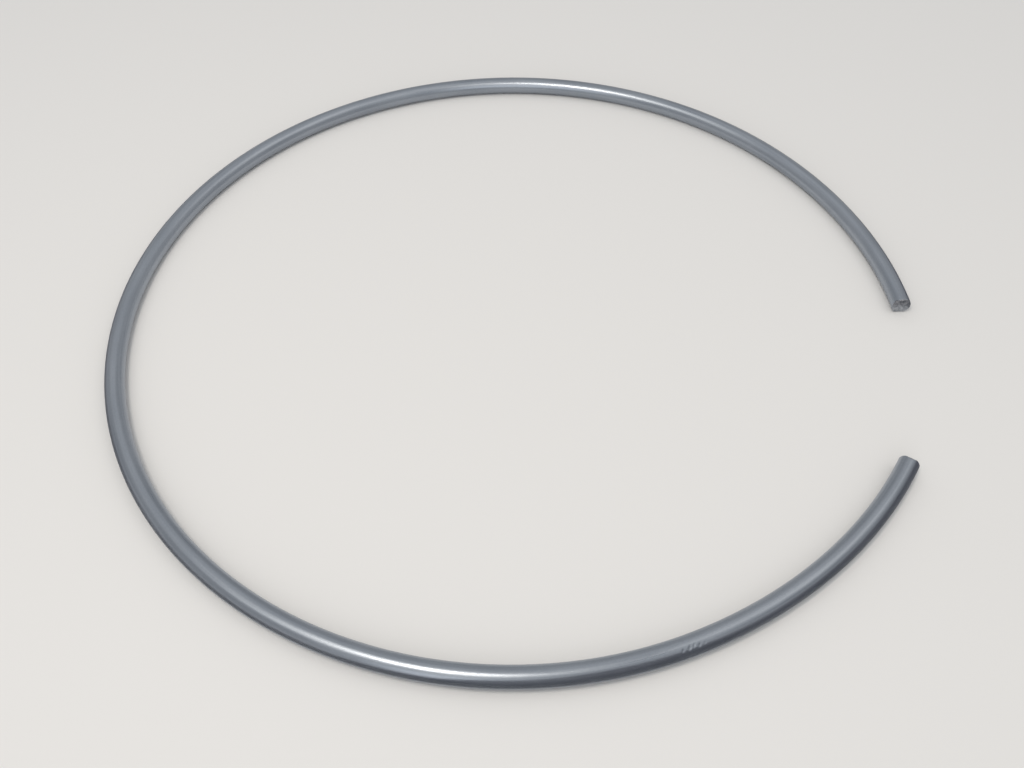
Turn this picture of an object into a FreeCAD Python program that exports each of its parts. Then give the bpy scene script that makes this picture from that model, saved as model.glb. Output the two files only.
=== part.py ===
import FreeCAD, Part
import math
import os
from FreeCAD import Vector

# Round wire snap ring for a groove in a bore. It is one length of spring wire, coiled to a
# ring that stands open by a gap, with both ends sheared off and nothing fixed to them.
# Sizes are in millimetres, for the free ring. The origin is the centre of the ring's round
# arc, in the wire's middle plane. +Z is the ring's axis and +X points to the middle of the gap.

# Driving dimensions of the wire and the ring
wire_diameter = 3.2
free_outside_diameter = 136.0
gap_angle = 28.9

# Each end springs out of the round arc in a tail of its own. The flare is how far the tail's
# tip stands outside the circle that the round arc would go on along.
left_tail_length = 46.4
left_tail_flare = 0.66
right_tail_length = 47.2
right_tail_flare = 2.0

# The sheared end, from the side where the blade enters to the side where the wire breaks off:
# a rounded edge, a smooth land, a slanting break, and a thin burr that overhangs the break
rolled_edge_radius = 0.45
land_height = 0.9
break_depth = 0.25
burr_thickness = 0.3

# Sizes that follow
wire_radius = wire_diameter / 2
ring_radius = free_outside_diameter / 2 - wire_radius
shear_stock = 2 * wire_radius
axis = Vector(0, 0, 1)


def tail_radius(length, flare):
    """Bend radius of a tail whose tip leaves the round arc's circle by the flare."""
    return 1 / (1 / ring_radius - 2 * flare / length**2)


def tail_tip_angle(length, bend_radius):
    """Angle, seen from the origin, between a tail's start and the middle of its end face."""
    turn = length / bend_radius
    across = bend_radius * math.sin(turn)
    along = ring_radius - bend_radius + bend_radius * math.cos(turn)
    return math.degrees(math.atan2(across, along))


def bent_wire(bend_radius, sweep):
    """Solid wire bent about the origin, from the +X axis through the sweep in degrees."""
    section = Part.Circle(Vector(bend_radius, 0, 0), Vector(0, 1, 0), wire_radius)
    face = Part.Face(Part.Wire(section.toShape()))
    return face.revolve(Vector(0, 0, 0), axis, sweep)


def shear_cutter(burr_side):
    """Block that cuts a wire which leaves the origin along +Y square off, just at the origin.

    Its inner side has the outline that the shear leaves. The burr is on top where burr_side
    is 1 and underneath where it is -1, because one stroke of the shear makes the two ends
    that face each other, and they are each other's opposite.
    """
    outside = 2 * shear_stock
    burr_root = wire_radius - burr_thickness
    break_top = burr_root - break_depth
    land_bottom = rolled_edge_radius - wire_radius
    land_top = land_bottom + land_height
    diagonal = math.sqrt(0.5)

    def point(along, height):
        return Vector(0, along, burr_side * height)

    cove = Part.Arc(
        point(0, burr_root),
        point(-break_depth * diagonal, break_top + break_depth * diagonal),
        point(-break_depth, break_top),
    )
    rolled_edge = Part.Arc(
        point(0, land_bottom),
        point(-rolled_edge_radius * (1 - diagonal), land_bottom - rolled_edge_radius * diagonal),
        point(-rolled_edge_radius, -wire_radius),
    )
    edges = [
        Part.LineSegment(point(outside, outside), point(0, outside)),
        Part.LineSegment(point(0, outside), point(0, burr_root)),
        cove,
        Part.LineSegment(point(-break_depth, break_top), point(0, land_top)),
        Part.LineSegment(point(0, land_top), point(0, land_bottom)),
        rolled_edge,
        Part.LineSegment(point(-rolled_edge_radius, -wire_radius), point(-rolled_edge_radius, -outside)),
        Part.LineSegment(point(-rolled_edge_radius, -outside), point(outside, -outside)),
        Part.LineSegment(point(outside, -outside), point(outside, outside)),
    ]
    outline = Part.Face(Part.Wire([edge.toShape() for edge in edges]))
    block = outline.extrude(Vector(2 * outside, 0, 0))
    block.translate(Vector(-outside, 0, 0))
    return block


def tail(length, flare, burr_side):
    """Tail that starts on the +X axis, tangent to the round arc, and runs on anticlockwise."""
    bend_radius = tail_radius(length, flare)
    wire = bent_wire(bend_radius, math.degrees((length + shear_stock) / bend_radius))
    cutter = shear_cutter(burr_side)
    cutter.translate(Vector(bend_radius, 0, 0))
    cutter.rotate(Vector(0, 0, 0), axis, math.degrees(length / bend_radius))
    trimmed = wire.cut(cutter)
    trimmed.translate(Vector(ring_radius - bend_radius, 0, 0))
    return trimmed


def snap_ring():
    """The round arc with a tail on each end, as one solid."""
    left_reach = tail_tip_angle(left_tail_length, tail_radius(left_tail_length, left_tail_flare))
    right_reach = tail_tip_angle(right_tail_length, tail_radius(right_tail_length, right_tail_flare))
    arc_from = gap_angle / 2 + left_reach
    arc_to = 360 - gap_angle / 2 - right_reach

    round_arc = bent_wire(ring_radius, arc_to - arc_from)
    round_arc.rotate(Vector(0, 0, 0), axis, arc_from)

    right_tail = tail(right_tail_length, right_tail_flare, -1)
    right_tail.rotate(Vector(0, 0, 0), axis, arc_to)

    # The left tail runs clockwise, so it is made anticlockwise and mirrored across the X axis
    left_tail = tail(left_tail_length, left_tail_flare, 1)
    left_tail = left_tail.mirror(Vector(0, 0, 0), Vector(0, 1, 0))
    left_tail.rotate(Vector(0, 0, 0), axis, arc_from)

    return round_arc.fuse([left_tail, right_tail]).Solids[0]


os.makedirs("parts", exist_ok=True)
ring = snap_ring()
ring.exportStep("parts/snap_ring.step")

box = ring.BoundBox
print("valid", ring.isValid(), "volume", round(ring.Volume, 2))
print("box", round(box.XLength, 2), round(box.YLength, 2), round(box.ZLength, 2))
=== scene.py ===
import math

import bmesh
import bpy
from mathutils import Matrix, Vector, noise


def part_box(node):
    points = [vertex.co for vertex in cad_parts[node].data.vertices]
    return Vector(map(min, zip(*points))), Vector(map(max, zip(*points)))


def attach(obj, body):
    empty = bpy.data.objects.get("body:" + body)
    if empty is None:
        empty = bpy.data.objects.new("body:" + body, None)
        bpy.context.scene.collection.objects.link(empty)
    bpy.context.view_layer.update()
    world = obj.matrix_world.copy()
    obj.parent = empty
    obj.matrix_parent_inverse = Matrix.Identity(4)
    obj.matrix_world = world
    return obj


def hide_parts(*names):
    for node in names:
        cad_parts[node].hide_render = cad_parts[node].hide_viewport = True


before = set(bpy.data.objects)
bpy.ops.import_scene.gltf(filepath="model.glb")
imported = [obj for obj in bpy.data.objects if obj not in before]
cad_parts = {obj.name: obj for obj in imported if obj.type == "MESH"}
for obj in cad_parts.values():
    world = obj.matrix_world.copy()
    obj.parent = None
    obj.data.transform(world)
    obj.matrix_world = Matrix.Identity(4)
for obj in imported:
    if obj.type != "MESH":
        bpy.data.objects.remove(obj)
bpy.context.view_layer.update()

# The line of the wire
# A snap ring is one length of hard-drawn spring wire, coiled cold over a roller. Its line is
# three arcs that run into each other: a left tail, the round arc and a right tail. All lengths
# in this script are in metres.
wire_low, wire_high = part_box("snap_ring")
wire_radius = (wire_high.z - wire_low.z) / 2
ring_radius = -wire_low.x - wire_radius
gap_angle = math.radians(28.9)
left_tail_length, left_tail_flare = 0.0464, 0.00066
right_tail_length, right_tail_flare = 0.0472, 0.0020


def bend_radius_of_tail(length, flare):
    """Bend radius of a tail whose tip leaves the round arc's circle by the flare."""
    return 1 / (1 / ring_radius - 2 * flare / length**2)


def angle_of_tail(length, bend_radius):
    """Angle, seen from the ring's centre, between a tail's start and its tip."""
    turn = length / bend_radius
    along = ring_radius - bend_radius + bend_radius * math.cos(turn)
    return math.atan2(bend_radius * math.sin(turn), along)


def spoke(angle):
    """Unit vector from the ring's centre at an angle from +X."""
    return Vector((math.cos(angle), math.sin(angle), 0))


left_bend = bend_radius_of_tail(left_tail_length, left_tail_flare)
right_bend = bend_radius_of_tail(right_tail_length, right_tail_flare)
arc_from = gap_angle / 2 + angle_of_tail(left_tail_length, left_bend)
arc_to = 2 * math.pi - gap_angle / 2 - angle_of_tail(right_tail_length, right_bend)
arc_length = (arc_to - arc_from) * ring_radius
wire_length = left_tail_length + arc_length + right_tail_length

# Each bend is its centre, its radius, the angle at its start, and how far along the wire it starts
left_centre = spoke(arc_from) * (ring_radius - left_bend)
right_centre = spoke(arc_to) * (ring_radius - right_bend)
bends = [
    (left_centre, left_bend, arc_from - left_tail_length / left_bend, 0.0),
    (Vector((0, 0, 0)), ring_radius, arc_from, left_tail_length),
    (right_centre, right_bend, arc_to, left_tail_length + arc_length),
]
rounding_error = 1e-9


def bend_at(along):
    """The bend that holds the point at this length along the wire."""
    begun = [bend for bend in bends if bend is bends[0] or bend[3] <= along + rounding_error]
    return begun[-1]


def on_wire(along, out, up):
    """Point at a length along the wire, a distance outwards from its line, and a height."""
    centre, radius, start, begins = bend_at(along)
    point = centre + spoke(start + (along - begins) / radius) * (radius + out)
    point.z = up
    return point


def from_wire(point):
    """Length along the wire, distance outwards and height of a point: on_wire turned round."""
    seen_at = math.atan2(point.y, point.x) % (2 * math.pi)
    bend = bends[0] if seen_at < arc_from else bends[2] if seen_at > arc_to else bends[1]
    centre, radius, start, begins = bend
    spread = point - centre
    turned = (math.atan2(spread.y, spread.x) - start) % (2 * math.pi)
    if bend is not bends[1]:
        turned = (turned + math.pi) % (2 * math.pi) - math.pi
    return begins + turned * radius, math.hypot(spread.x, spread.y) - radius, point.z


# The drawn surface
# The die leaves the spring steel with a satin skin: fine marks that run along the wire, cloudy
# patches, and here and there a pit. Its faint blue-grey cast is painted cool light, not the steel's
# own.
def add_node(tree, kind, feeds, **settings):
    """Adds a node with its settings, and feeds its inputs with values or other nodes' outputs."""
    node = tree.nodes.new(kind)
    for name, value in settings.items():
        setattr(node, name, value)
    for name, source in feeds.items():
        if isinstance(source, bpy.types.NodeSocket):
            tree.links.new(source, node.inputs[name])
        else:
            node.inputs[name].default_value = source
    return node


def make_grain_group():
    """Group that turns a place on the wire into grain: patches of a given size, from 0 to 1."""
    group = bpy.data.node_groups.new("steel_grain", "ShaderNodeTree")
    group.interface.new_socket("Place", in_out="INPUT", socket_type="NodeSocketVector")
    group.interface.new_socket("Patch Size", in_out="INPUT", socket_type="NodeSocketVector")
    group.interface.new_socket("Detail", in_out="INPUT", socket_type="NodeSocketFloat")
    group.interface.new_socket("Lowest", in_out="INPUT", socket_type="NodeSocketFloat")
    group.interface.new_socket("Highest", in_out="INPUT", socket_type="NodeSocketFloat")
    group.interface.new_socket("Grain", in_out="OUTPUT", socket_type="NodeSocketFloat")
    given = group.nodes.new("NodeGroupInput").outputs
    patches = add_node(
        group,
        "ShaderNodeVectorMath",
        {0: given["Place"], 1: given["Patch Size"]},
        operation="DIVIDE",
    )
    cloud = add_node(
        group,
        "ShaderNodeTexNoise",
        {"Vector": patches.outputs["Vector"], "Scale": 1.0, "Detail": given["Detail"]},
    )
    spread = add_node(
        group,
        "ShaderNodeMapRange",
        {"Value": cloud.outputs["Fac"], "From Min": given["Lowest"], "From Max": given["Highest"]},
    )
    add_node(group, "NodeGroupOutput", {"Grain": spread.outputs["Result"]})
    return group


def add_grain(tree, place, patch_size, detail=2.0, lowest=0.3, highest=0.7):
    """Places the grain group in a material and returns its output."""
    feeds = {
        "Place": place,
        "Patch Size": patch_size,
        "Detail": detail,
        "Lowest": lowest,
        "Highest": highest,
    }
    return add_node(tree, "ShaderNodeGroup", feeds, node_tree=grain_group).outputs["Grain"]


def mix_grains(tree, shares):
    """Adds several grains up, each with its share of the whole."""
    total = 0.0
    for grain, share in shares:
        feeds = {0: grain, 1: share, 2: total}
        total = add_node(tree, "ShaderNodeMath", feeds, operation="MULTIPLY_ADD").outputs[0]
    return total


def shade_between(tree, factor, dark, light):
    """Colour ramp from a dark shade to a light one."""
    ramp = add_node(tree, "ShaderNodeValToRGB", {"Fac": factor})
    ramp.color_ramp.elements[0].color = (*dark, 1)
    ramp.color_ramp.elements[1].color = (*light, 1)
    return ramp.outputs["Color"]


def range_between(tree, factor, lowest, highest):
    """Value between two limits, by a factor from 0 to 1."""
    feeds = {"Value": factor, "To Min": lowest, "To Max": highest}
    return add_node(tree, "ShaderNodeMapRange", feeds).outputs["Result"]


def read_attribute(tree, name, output="Fac"):
    """What one of the mesh's own attributes says at a point."""
    return add_node(tree, "ShaderNodeAttribute", {}, attribute_name=name).outputs[output]


def add_bump(tree, height, relief, beneath=None):
    """Relief with a full height in metres, on top of the relief beneath it if there is one."""
    feeds = {"Strength": 1.0, "Distance": relief, "Height": height}
    if beneath is not None:
        feeds["Normal"] = beneath
    return add_node(tree, "ShaderNodeBump", feeds).outputs["Normal"]


def new_metal(name):
    """Metal material without a colour of its own yet."""
    metal = bpy.data.materials.new(name)
    metal.use_nodes = True
    metal.node_tree.nodes["Principled BSDF"].inputs["Metallic"].default_value = 1.0
    return metal


def dress_metal(metal, colour, roughness, normal):
    """Feeds a metal's shader with its colour, roughness and relief."""
    shader = metal.node_tree.nodes["Principled BSDF"]
    for name, source in (("Base Color", colour), ("Roughness", roughness), ("Normal", normal)):
        metal.node_tree.links.new(source, shader.inputs[name])


grain_group = make_grain_group()
drawn_steel = new_metal("drawn_steel")
tree = drawn_steel.node_tree
place = read_attribute(tree, "wire_place", output="Vector")
broad_marks = add_grain(tree, place, (0.060, 0.00050, 0.00050))
fine_marks = add_grain(tree, place, (0.018, 0.00013, 0.00013))
clouds = add_grain(tree, place, (0.012, 0.0016, 0.0016), detail=3.0)
specks = add_grain(tree, place, (0.00035, 0.00022, 0.00022), detail=1.0)
pits = add_grain(tree, place, (0.00060, 0.00030, 0.00030), detail=1.0, lowest=0.70, highest=0.78)

shade = mix_grains(tree, [(broad_marks, 0.40), (fine_marks, 0.15), (clouds, 0.30), (specks, 0.15)])
dullness = mix_grains(tree, [(clouds, 0.5), (broad_marks, 0.3), (fine_marks, 0.2)])
height = mix_grains(tree, [(broad_marks, 0.45), (fine_marks, 0.25), (specks, 0.30), (pits, -1.2)])
# Both shades are the steel's grey with a lean to blue that is painted cool light
steel_colour = shade_between(tree, shade, (0.250, 0.280, 0.325), (0.410, 0.445, 0.495))
least_roughness, most_roughness = 0.26, 0.35
steel_roughness = range_between(tree, dullness, least_roughness, most_roughness)
steel_relief = 0.000006
dress_metal(drawn_steel, steel_colour, steel_roughness, add_bump(tree, height, steel_relief))

# The snap ring
# The wire's round section is a flat disc at the left tip, and its rim is drawn round the three
# bends in one go. The steps are fine at both tips and where the tool has nicked the wire.
sides = 96
tip_step, nick_step, plain_step = 0.00012, 0.00006, 0.0012
tip_zone = 0.0030
nick_zone = 0.0056
rim_rounding = 0.00004
rim_shoulder = 0.000028
rim_tolerance = 0.000001


def let_go(piece):
    """Deselects all of a piece in edit mode and returns its mesh to work on."""
    work = bmesh.from_edit_mesh(piece.data)
    for part in (*work.faces, *work.edges, *work.verts):
        part.select = False
    return work


def select_rim(piece, along):
    """Selects the edges round the wire's outside at a length along it."""
    work = let_go(piece)
    middle = on_wire(along, 0, 0)
    for edge in work.edges:
        reaches = [(vert.co - middle).length for vert in edge.verts]
        if max(abs(reach - wire_radius) for reach in reaches) < rim_tolerance:
            edge.select_set(True)
    bmesh.update_edit_mesh(piece.data)


bpy.ops.object.select_all(action="DESELECT")
left_tip, right_tip = rim_rounding, wire_length - rim_rounding
bpy.ops.mesh.primitive_circle_add(
    vertices=sides,
    radius=wire_radius,
    fill_type="NGON",
    location=on_wire(left_tip, 0, 0),
    rotation=(math.pi / 2, 0, bends[0][2] + left_tip / left_bend),
)
ring = bpy.context.active_object
ring.name = "snap_ring_wire"
ring.data.materials.append(drawn_steel)
bpy.ops.object.transform_apply()
bpy.ops.object.mode_set(mode="EDIT")

# The stretches of the wire in order, each with the length of its steps
nick_middle = left_tail_length + arc_length
nick_from, nick_to = nick_middle - nick_zone / 2, nick_middle + nick_zone / 2
stretches = [
    (left_tip, tip_zone, tip_step),
    (tip_zone, left_tail_length, plain_step),
    (left_tail_length, nick_from, plain_step),
    (nick_from, nick_middle, nick_step),
    (nick_middle, nick_to, nick_step),
    (nick_to, wire_length - tip_zone, plain_step),
    (wire_length - tip_zone, right_tip, tip_step),
]
select_rim(ring, left_tip)
for begin, end, step in stretches:
    centre, radius = bend_at((begin + end) / 2)[:2]
    bpy.ops.mesh.spin(
        steps=round((end - begin) / step),
        angle=-(end - begin) / radius,
        center=centre,
        axis=(0, 0, 1),
    )
bpy.ops.mesh.edge_face_add()

# The sheared ends
# One stroke of a shear cuts the wire from its coil. The blade rolls one edge over, burnishes a
# smooth land, and then the steel breaks off slanting and leaves a thin burr over the break.
rolled_edge_radius = 0.00045
land_height = 0.0009
break_depth = 0.00025
burr_thickness = 0.0003
land_bottom = rolled_edge_radius - wire_radius
land_top = land_bottom + land_height
burr_root = wire_radius - burr_thickness
break_top = burr_root - break_depth


def mix_colours(tree, share, first, second, blend="MIX"):
    """A second colour over a first, by its share from 0 to 1."""
    feeds = {"Fac": share, "Color1": first, "Color2": second}
    return add_node(tree, "ShaderNodeMixRGB", feeds, blend_type=blend).outputs["Color"]


sheared_steel = new_metal("sheared_steel")
tree = sheared_steel.node_tree
place = read_attribute(tree, "wire_place", output="Vector")
broken = read_attribute(tree, "broken")
painted_burr_shadow = read_attribute(tree, "painted_burr_shadow")
burr = read_attribute(tree, "burr")
blade_marks = add_grain(tree, place, (0.00012, 0.00010, 0.0012))
crystals = add_grain(tree, place, (0.00012, 0.00012, 0.00012), detail=3.0)
blotches = add_grain(tree, place, (0.00050, 0.00050, 0.00050), detail=3.0, lowest=0.36, highest=0.64)
break_grain = mix_grains(tree, [(crystals, 0.45), (blotches, 0.55)])
land_grain = mix_grains(tree, [(blade_marks, 0.45), (blotches, 0.55)])
land_shade = shade_between(tree, land_grain, (0.22, 0.24, 0.27), (0.48, 0.50, 0.54))
break_shade = shade_between(tree, break_grain, (0.11, 0.12, 0.14), (0.46, 0.47, 0.50))
# Painted shadow: where its mask says so, the cut face just under the burr is darkened to near black,
# as if the burr shaded it
painted_shadow_darkening = shade_between(tree, painted_burr_shadow, (1.0, 1.0, 1.0), (0.05, 0.05, 0.06))
# The burr's light colour is partly its own burnished steel and partly a painted highlight along its
# top
burr_colour = (0.72, 0.74, 0.78, 1)
cut_shade = mix_colours(tree, broken, land_shade, break_shade)
cut_shade_with_painted_shadow = mix_colours(tree, 1.0, cut_shade, painted_shadow_darkening, blend="MULTIPLY")
cut_colour = mix_colours(tree, burr, cut_shade_with_painted_shadow, burr_colour)
land_roughness, break_roughness = 0.34, 0.52
cut_roughness = range_between(tree, broken, land_roughness, break_roughness)
blade_relief, crystal_relief = 0.000006, 0.00003
blade_bump = add_bump(tree, blade_marks, blade_relief)
crystal_height = add_node(tree, "ShaderNodeMath", {0: crystals, 1: broken}, operation="MULTIPLY")
cut_bump = add_bump(tree, crystal_height.outputs[0], crystal_relief, beneath=blade_bump)
dress_metal(sheared_steel, cut_colour, cut_roughness, cut_bump)
ring.data.materials.append(sheared_steel)

# The end faces are cut by an even lattice of lines, and by level lines where the cut turns
lattice_step = 0.00006
lattice_lines = int(wire_radius / lattice_step)
lattice = [lattice_step * line for line in range(-lattice_lines, lattice_lines + 1)]
cove_lines = 6
merge_distance = 1e-7


def select_end_disc(piece, along):
    """Selects the flat face across the wire at one of its tips."""
    work = let_go(piece)
    middle = on_wire(along, 0, 0)
    for face in work.faces:
        if len(face.verts) == sides and (face.calc_center_median() - middle).length < rim_rounding:
            face.select_set(True)
    bmesh.update_edit_mesh(piece.data)


def cut_heights(burr_side):
    """Heights of the level lines on an end face."""
    quarter_turns = [math.pi / 2 * line / cove_lines for line in range(cove_lines + 1)]
    cove = [break_top + break_depth * math.sin(turn) for turn in quarter_turns]
    return lattice + [burr_side * height for height in (land_bottom, land_top, *cove)]


def make_end_face(piece, along, burr_side):
    """Rounds the rim of an end disc a touch and cuts the disc into a lattice of small faces."""
    select_end_disc(piece, along)
    piece.active_material_index = piece.data.materials.find(sheared_steel.name)
    bpy.ops.mesh.inset(thickness=rim_rounding - rim_shoulder, depth=rim_shoulder)
    bpy.ops.mesh.inset(thickness=rim_shoulder, depth=rim_rounding - rim_shoulder)
    bpy.ops.object.material_slot_assign()
    bpy.ops.object.vertex_group_add()
    bpy.ops.object.vertex_group_assign()
    middle = on_wire(along, 0, 0)
    outwards = (on_wire(along, 1, 0) - middle).normalized()
    for direction, reaches in ((outwards, lattice), (Vector((0, 0, 1)), cut_heights(burr_side))):
        for reach in reaches:
            bpy.ops.mesh.select_all(action="DESELECT")
            bpy.ops.object.vertex_group_select()
            bpy.ops.mesh.bisect(plane_co=middle + direction * reach, plane_no=direction)
    bpy.ops.object.vertex_group_remove()


make_end_face(ring, left_tip, burr_side=1)
make_end_face(ring, right_tip, burr_side=-1)
bpy.ops.mesh.select_all(action="SELECT")
bpy.ops.mesh.remove_doubles(threshold=merge_distance)
bpy.ops.mesh.normals_make_consistent(inside=False)
bpy.ops.object.mode_set(mode="OBJECT")

# Where each point lies on the straight wire, for the grain, and how much it belongs to the broken
# steel, to the painted shadow under the burr and to the burr, whose light colour is partly a painted
# highlight
ring.data.attributes.new("wire_place", "FLOAT_VECTOR", "POINT")
for name in ("broken", "painted_burr_shadow", "burr"):
    ring.data.attributes.new(name, "FLOAT", "POINT")
wire_place = ring.data.attributes["wire_place"]
broken_steel = ring.data.attributes["broken"]
painted_burr_shadow_layer = ring.data.attributes["painted_burr_shadow"]
burr_steel = ring.data.attributes["burr"]
worked_length = 0.0015
border_wander, wander_length, border_blend = 0.00007, 0.0006, 0.00060
lump_height, lump_length, lump_base = 0.00006, 0.00040, 0.3
lump_fade, lump_refining, lump_octaves = 1.0, 2.0, 3
# How far down from the burr's root the painted shadow reaches
painted_shadow_height = 0.00028
burr_wear = 0.00010


def cut_depth(height):
    """How far behind the land the cut lies, at a height measured towards the burr."""
    if height < land_bottom:
        below = min(land_bottom - height, rolled_edge_radius)
        return rolled_edge_radius - math.sqrt(rolled_edge_radius**2 - below**2)
    if height < land_top:
        return 0
    if height < break_top:
        return break_depth * (height - land_top) / (break_top - land_top)
    if height < burr_root:
        return math.sqrt(break_depth**2 - (height - break_top) ** 2)
    return 0


def shear(piece, tip, inwards, burr_side):
    """Pushes an end face, and the wire behind it, back to the outline that the shear leaves."""
    for number, vert in enumerate(piece.data.vertices):
        along, out, up = wire_place.data[number].vector
        behind = inwards * (along - tip)
        if behind > worked_length:
            continue
        height = burr_side * up
        wander = noise.noise(Vector((out, tip, 0)) / wander_length)
        if height > burr_root:
            depth = burr_wear * max(wander, 0)
            # Marks the burr, whose light colour is partly a painted highlight
            burr_steel.data[number].value = 1
        else:
            above_land = height + border_wander * wander - land_top
            broken = min(max(above_land / border_blend, 0), 1)
            under_burr = burr_root - height + border_wander * wander
            spot = Vector((out, tip, up)) / lump_length
            lumps = noise.fractal(spot, lump_fade, lump_refining, lump_octaves)
            depth = cut_depth(height) + lump_height * broken * max(lumps + lump_base, 0)
            broken_steel.data[number].value = broken
            # Painted shadow: a band just under the burr's root, strongest at the root and fading
            # downwards
            painted_burr_shadow_layer.data[number].value = min(max(1 - under_burr / painted_shadow_height, 0), 1)
        along += inwards * depth * (1 - behind / worked_length)
        vert.co = on_wire(along, out, up)


for vert, place in zip(ring.data.vertices, wire_place.data):
    place.vector = from_wire(vert.co)
shear(ring, tip=0, inwards=1, burr_side=1)
shear(ring, tip=wire_length, inwards=-1, burr_side=-1)

# The tool's nicks
# Where the round arc runs out into the right tail, the coiling tool has let go of the wire and
# left a few small dents across it. The steel pushed out of each stands beside it as a low lip.
nick_slant = 0.25
lip_share = 0.6
# Each nick's distance beyond the arc's end, side of the wire in degrees, length, width and depth
nicks = [
    (-0.00208, 58, 0.00024, 0.00032, 0.000050),
    (-0.00112, 61, 0.00027, 0.00036, 0.000075),
    (-0.00045, 65, 0.00020, 0.00028, 0.000060),
    (0.00031, 58, 0.00028, 0.00034, 0.000060),
    (0.00115, 60, 0.00022, 0.00022, 0.000030),
]


def nick_depth_at(along, angle):
    """How deep the surface is pushed in at a length along the wire and an angle round it."""
    depth = 0
    for beyond, facing, length, width, deepest in nicks:
        across = (angle - math.radians(facing)) * wire_radius
        lengthwise = (along - nick_middle - beyond - nick_slant * across) / length
        reach = lengthwise**2 + (across / width) ** 2
        depth += deepest * (1 - lip_share * reach) * math.exp(-reach)
    return depth


for vert, place in zip(ring.data.vertices, wire_place.data):
    along, out, up = place.vector
    if nick_from < along < nick_to:
        left = 1 - nick_depth_at(along, math.atan2(up, out)) / wire_radius
        vert.co = on_wire(along, out * left, min(up * left, wire_radius))

smooth_up_to = math.radians(35)
bpy.ops.object.shade_smooth_by_angle(angle=smooth_up_to)
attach(ring, "root")
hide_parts("snap_ring")

# The floor
# A plain pale sheet of card that the ring lies on. It has no shine, so it shows the ring's soft
# shadow and no mirror image, and it is wide enough to fill the photograph's view.
floor_size = 4.0
floor_colour = (0.80, 0.80, 0.80)
bpy.ops.mesh.primitive_plane_add(size=floor_size, location=(0, 0, wire_low.z))
floor = bpy.context.active_object
floor.name = "floor"


def dull_paint(name, colour):
    """Plain paint without a shine."""
    paint = bpy.data.materials.new(name)
    paint.use_nodes = True
    shader = paint.node_tree.nodes["Principled BSDF"]
    shader.inputs["Base Color"].default_value = (*colour, 1)
    shader.inputs["Roughness"].default_value = 1.0
    shader.inputs["Specular IOR Level"].default_value = 0.0
    return paint


floor.data.materials.append(dull_paint("floor_paint", floor_colour))

# The dark card
# Photographers stand black card beside bright metal to darken its edge. This one is a low collar
# round the ring, highest in front on the right. Only the ring's reflections show it.
collar_sides = 180
collar_foot, collar_bend, collar_top = 1.04 * ring_radius, 1.12 * ring_radius, 1.20 * ring_radius
collar_colour = (0.24, 0.24, 0.27)
# Heights of the collar's top round the ring, by the angle from +X in degrees
collar_heights = [
    (0, 0.0080),
    (14, 0.0060),
    (44, 0.0010),
    (74, 0.0001),
    (144, 0.0001),
    (184, 0.0022),
    (209, 0.0022),
    (239, 0.0004),
    (259, 0.0004),
    (272, 0.0030),
    (282, 0.0130),
    (298, 0.0180),
    (306, 0.0140),
    (316, 0.0080),
    (360, 0.0080),
]


def collar_height(angle):
    """Height of the collar's top at an angle, eased from one given height to the next."""
    for (begin, low), (end, high) in zip(collar_heights, collar_heights[1:]):
        if angle <= end:
            share = (angle - begin) / (end - begin)
            return low + (high - low) * share**2 * (3 - 2 * share)


bpy.ops.mesh.primitive_circle_add(
    vertices=collar_sides,
    radius=collar_foot,
    location=(0, 0, wire_low.z),
)
collar = bpy.context.active_object
collar.name = "dark_card"
bpy.ops.object.mode_set(mode="EDIT")
for inner, outer in ((collar_foot, collar_bend), (collar_bend, collar_top)):
    bpy.ops.mesh.extrude_region_move()
    bpy.ops.transform.resize(value=(outer / inner, outer / inner, 1))
bpy.ops.object.mode_set(mode="OBJECT")
bpy.ops.object.transform_apply()
for vert in collar.data.vertices:
    if vert.co.xy.length > (collar_bend + collar_top) / 2:
        vert.co.z += collar_height(math.degrees(math.atan2(vert.co.y, vert.co.x)) % 360)
collar.data.materials.append(dull_paint("dark_card_paint", collar_colour))
collar.visible_camera = False
collar.visible_diffuse = False
collar.visible_shadow = False

# The light
# An even grey room with a broad ceiling lamp. A small soft lamp above the ring's front edge makes
# the two bright spots, a wide dim lamp on the left and one on the right draw the faint lines,
# and a broad panel stands far off in front.
room_light = 0.52
warm_white, warmer_white = (1.0, 0.94, 0.84), (1.0, 0.92, 0.81)


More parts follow.
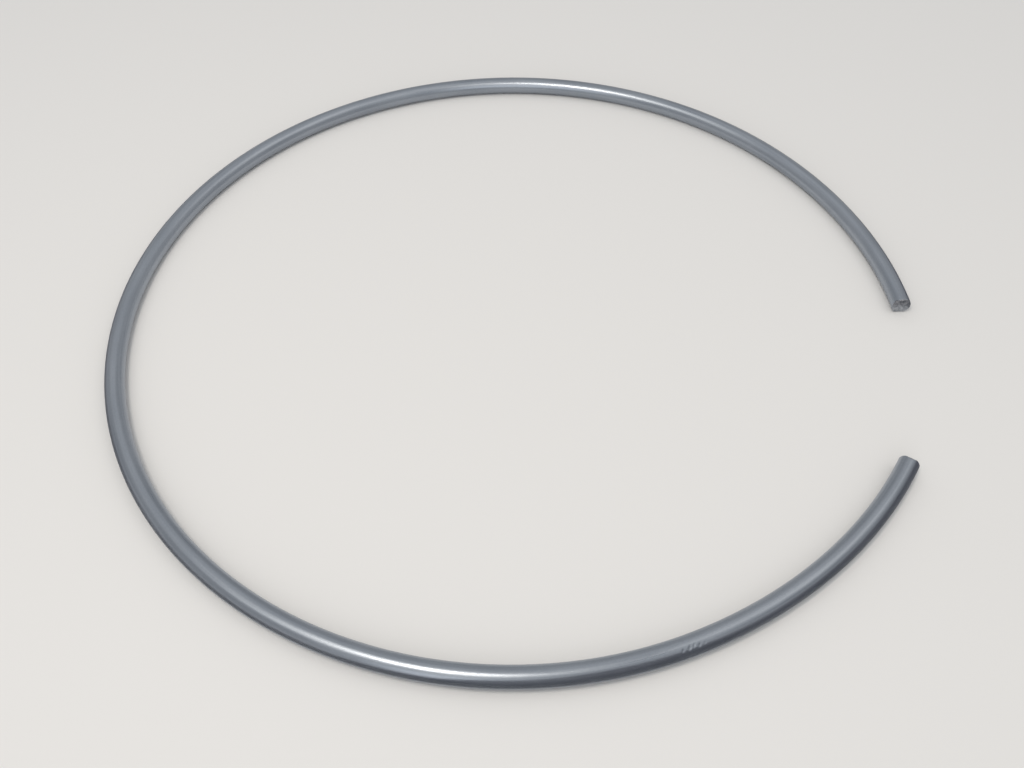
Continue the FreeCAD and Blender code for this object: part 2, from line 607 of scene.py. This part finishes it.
def add_lamp(name, place, width, height, brightness, colour=(1.0, 1.0, 1.0)):
    """Soft lamp at a place, facing the middle of the ring, as bright as white paper times this."""
    facing_ring = (-Vector(place)).to_track_quat("-Z", "Y").to_euler()
    bpy.ops.object.light_add(type="AREA", location=place, rotation=facing_ring)
    lamp = bpy.context.active_object
    lamp.name = name
    lamp.data.shape = "RECTANGLE"
    lamp.data.size = width
    lamp.data.size_y = height
    lamp.data.energy = brightness * math.pi * width * height
    lamp.data.color = colour


# Each lamp's name, place, width, height, brightness and colour
add_lamp("small_lamp", (-0.038, -0.122, 0.320), 0.060, 0.100, 13.0, warmer_white)
add_lamp("left_lamp", (-0.188, -0.243, 0.629), 0.42, 0.42, 0.70, warm_white)
add_lamp("right_lamp", (0.274, 0.123, 0.520), 0.30, 0.30, 0.50, warm_white)
add_lamp("front_panel", (0.155, -1.067, 0.526), 0.90, 0.75, 0.85)
add_lamp("ceiling_lamp", (0.0, 0.0, 1.100), 2.20, 2.20, 0.17)

world = bpy.data.worlds.new("studio")
bpy.context.scene.world = world
world.use_nodes = True
room_colour = (room_light, room_light, room_light, 1)
world.node_tree.nodes["Background"].inputs["Color"].default_value = room_colour
bpy.context.scene.view_settings.view_transform = "Standard"

# The camera
# It looks down on the ring as the photograph does. Its turn, height, roll, distance, aim and lens
# are those that lay the ring's two edges on the photo's.
camera_azimuth = math.radians(14.24)
camera_elevation = math.radians(50.24)
camera_roll = math.radians(-0.386)
camera_distance = 2.4765 * ring_radius
aim_in_view = Vector((-0.0016, -0.2511, 0)) * ring_radius
camera_lens, camera_sensor = 35.78, 36.0
nearest_in_view = 0.01

turn = Matrix.Rotation(camera_azimuth, 4, "Z")
back = turn @ Vector((0, -math.cos(camera_elevation), math.sin(camera_elevation)))
bpy.ops.object.camera_add(location=turn @ aim_in_view + back * camera_distance)
camera = bpy.context.active_object
camera.data.lens = camera_lens
camera.data.sensor_width = camera_sensor
facing = (-back).to_track_quat("-Z", "Y").to_matrix().to_4x4()
camera.rotation_euler = (facing @ Matrix.Rotation(camera_roll, 4, "Z")).to_euler()
camera.data.clip_start = nearest_in_view
bpy.context.scene.camera = camera
